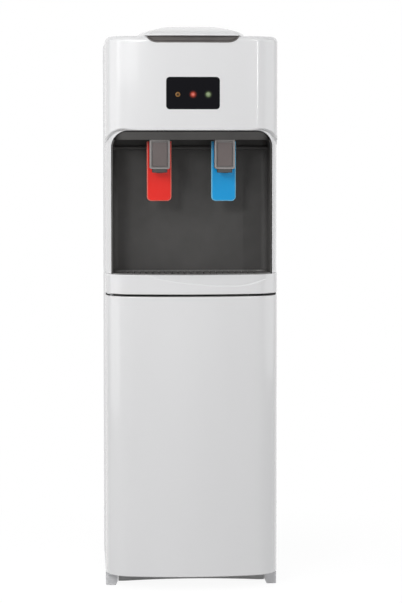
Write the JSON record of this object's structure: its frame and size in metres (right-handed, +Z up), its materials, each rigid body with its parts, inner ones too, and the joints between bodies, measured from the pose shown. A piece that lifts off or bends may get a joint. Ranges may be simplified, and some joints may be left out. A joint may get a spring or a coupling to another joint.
{
  "type": "bottom load water cooler",
  "caption": "Floor-standing water cooler with a bottle bay behind a bowed door, hot and cold push paddles in a dark niche, lift-out drip tray and hinged top lid.",
  "frame": {"origin": "on the floor under the middle of the bounding box", "axes": "+Z up, -Y towards the user (front), +X to the right seen from the front"},
  "size_m": [0.31, 0.36, 1.0098],
  "materials": {
    "white_plastic": "glossy moulded ABS",
    "white_steel": "powder coated sheet",
    "dark_plastic": "fine satin moulding",
    "grip_plastic": "satin moulding",
    "foot_plastic": "satin moulding",
    "black_gloss": "polished",
    "amber_lamp": "clear domed lamp",
    "red_lamp": "clear domed lamp",
    "green_lamp": "clear domed lamp",
    "tap_plastic": "satin moulding",
    "red_plastic": "glossy moulding",
    "blue_plastic": "glossy moulding",
    "plain_steel": "zinc plated",
    "stainless": "drawn stainless sheet",
    "black_enamel": "satin enamel",
    "rubber": "soft moulding",
    "foam": "moulded bead foam",
    "soft_tube": "milky soft tube",
    "board_green": "lacquered board",
    "cap_blue": "glossy moulding"
  },
  "bodies": {
    "cabinet": {"base_tray": "dark_plastic", "front_feet": "foot_plastic", "rear_feet": "rubber", "left_side_panel": "white_steel", "right_side_panel": "white_steel", "rear_panel": "white_steel", "divider_shelf": "plain_steel", "lower_hinge_bracket": "plain_steel", "upper_hinge_bracket": "plain_steel", "catch_magnet": "rubber", "front_fascia": "white_plastic", "grip_inset": "grip_plastic", "tray_apron": "white_plastic", "niche_liner": "dark_plastic", "tray_well": "dark_plastic", "top_cover": "white_plastic", "lid_hinge_pin": "plain_steel", "indicator_lens": "black_gloss", "amber_led": "amber_lamp", "red_led": "red_lamp", "green_led": "green_lamp", "indicator_board": "board_green", "hot_tap_body": "tap_plastic", "cold_tap_body": "tap_plastic", "hot_tap_face": "tap_plastic", "cold_tap_face": "tap_plastic", "hot_tap_nozzle": "dark_plastic", "cold_tap_nozzle": "dark_plastic", "hot_paddle_pin": "plain_steel", "cold_paddle_pin": "plain_steel", "hot_paddle_spring": "plain_steel", "cold_paddle_spring": "plain_steel", "reservoir": "stainless", "reservoir_insulation": "foam", "hot_tank": "stainless", "compressor": "black_enamel", "compressor_grommets": "rubber", "feed_tubes": "soft_tube", "water_pump": "dark_plastic", "pump_hose": "soft_tube", "bottle_probe": "soft_tube", "probe_clip": "white_plastic", "condenser": "black_enamel", "condenser_brackets": "rubber", "switch_bezel": "dark_plastic", "drain_outlet": "white_plastic", "cord_gland": "rubber"},
    "door": {"door_shell": "white_plastic", "door_liner": "white_plastic", "catch_plate": "plain_steel"},
    "hot_paddle": {"hot_paddle": "red_plastic"},
    "cold_paddle": {"cold_paddle": "blue_plastic"},
    "drip_tray": {"drip_tray": "dark_plastic"},
    "drip_grille": {"drip_grille": "dark_plastic"},
    "lid": {"lid": "white_plastic"},
    "reservoir_cap": {"reservoir_cap": "cap_blue"},
    "hot_switch": {"hot_switch": "red_plastic"},
    "cold_switch": {"cold_switch": "cap_blue"},
    "drain_cap": {"drain_cap": "white_plastic"}
  },
  "joints": [
    {"name": "door_hinge", "type": "hinge", "parent": "cabinet", "child": "door", "pos_m": [-0.143, -0.117, 0.2773], "axis": [0, 0, -1], "range_deg": [0, 90]},
    {"name": "hot_paddle_pivot", "type": "hinge", "parent": "cabinet", "child": "hot_paddle", "pos_m": [-0.058, -0.111, 0.7985], "axis": [1, 0, 0], "range_deg": [0, 12], "stiffness_Nm_per_rad": 0.25, "springref_deg": -8.59, "deforming": ["hot_paddle_spring"]},
    {"name": "cold_paddle_pivot", "type": "hinge", "parent": "cabinet", "child": "cold_paddle", "pos_m": [0.058, -0.111, 0.7985], "axis": [1, 0, 0], "range_deg": [0, 12], "stiffness_Nm_per_rad": 0.25, "springref_deg": -8.59, "deforming": ["cold_paddle_spring"]},
    {"name": "drip_tray_lift", "type": "slide", "parent": "cabinet", "child": "drip_tray", "axis": [0, 0, 1], "range_m": [0, 0.06]},
    {"name": "drip_grille_lift", "type": "slide", "parent": "drip_tray", "child": "drip_grille", "axis": [0, 0, 1], "range_m": [0, 0.03]},
    {"name": "lid_hinge", "type": "hinge", "parent": "cabinet", "child": "lid", "pos_m": [0, 0.066, 0.997], "axis": [-1, 0, 0], "range_deg": [0, 75]},
    {"name": "reservoir_cap_turn", "type": "hinge", "parent": "cabinet", "child": "reservoir_cap", "pos_m": [0, -0.028, 0.986], "axis": [0, 0, 1], "range_deg": [0, 90]},
    {"name": "hot_switch_rock", "type": "hinge", "parent": "cabinet", "child": "hot_switch", "pos_m": [0.099, 0.1605, 0.913], "axis": [-1, 0, 0], "range_deg": [0, 16]},
    {"name": "cold_switch_rock", "type": "hinge", "parent": "cabinet", "child": "cold_switch", "pos_m": [0.125, 0.1605, 0.913], "axis": [-1, 0, 0], "range_deg": [0, 16]},
    {"name": "drain_cap_turn", "type": "hinge", "parent": "cabinet", "child": "drain_cap", "pos_m": [0.124, 0.166, 0.618], "axis": [0, 1, 0], "range_deg": [0, 360]}
  ]
}
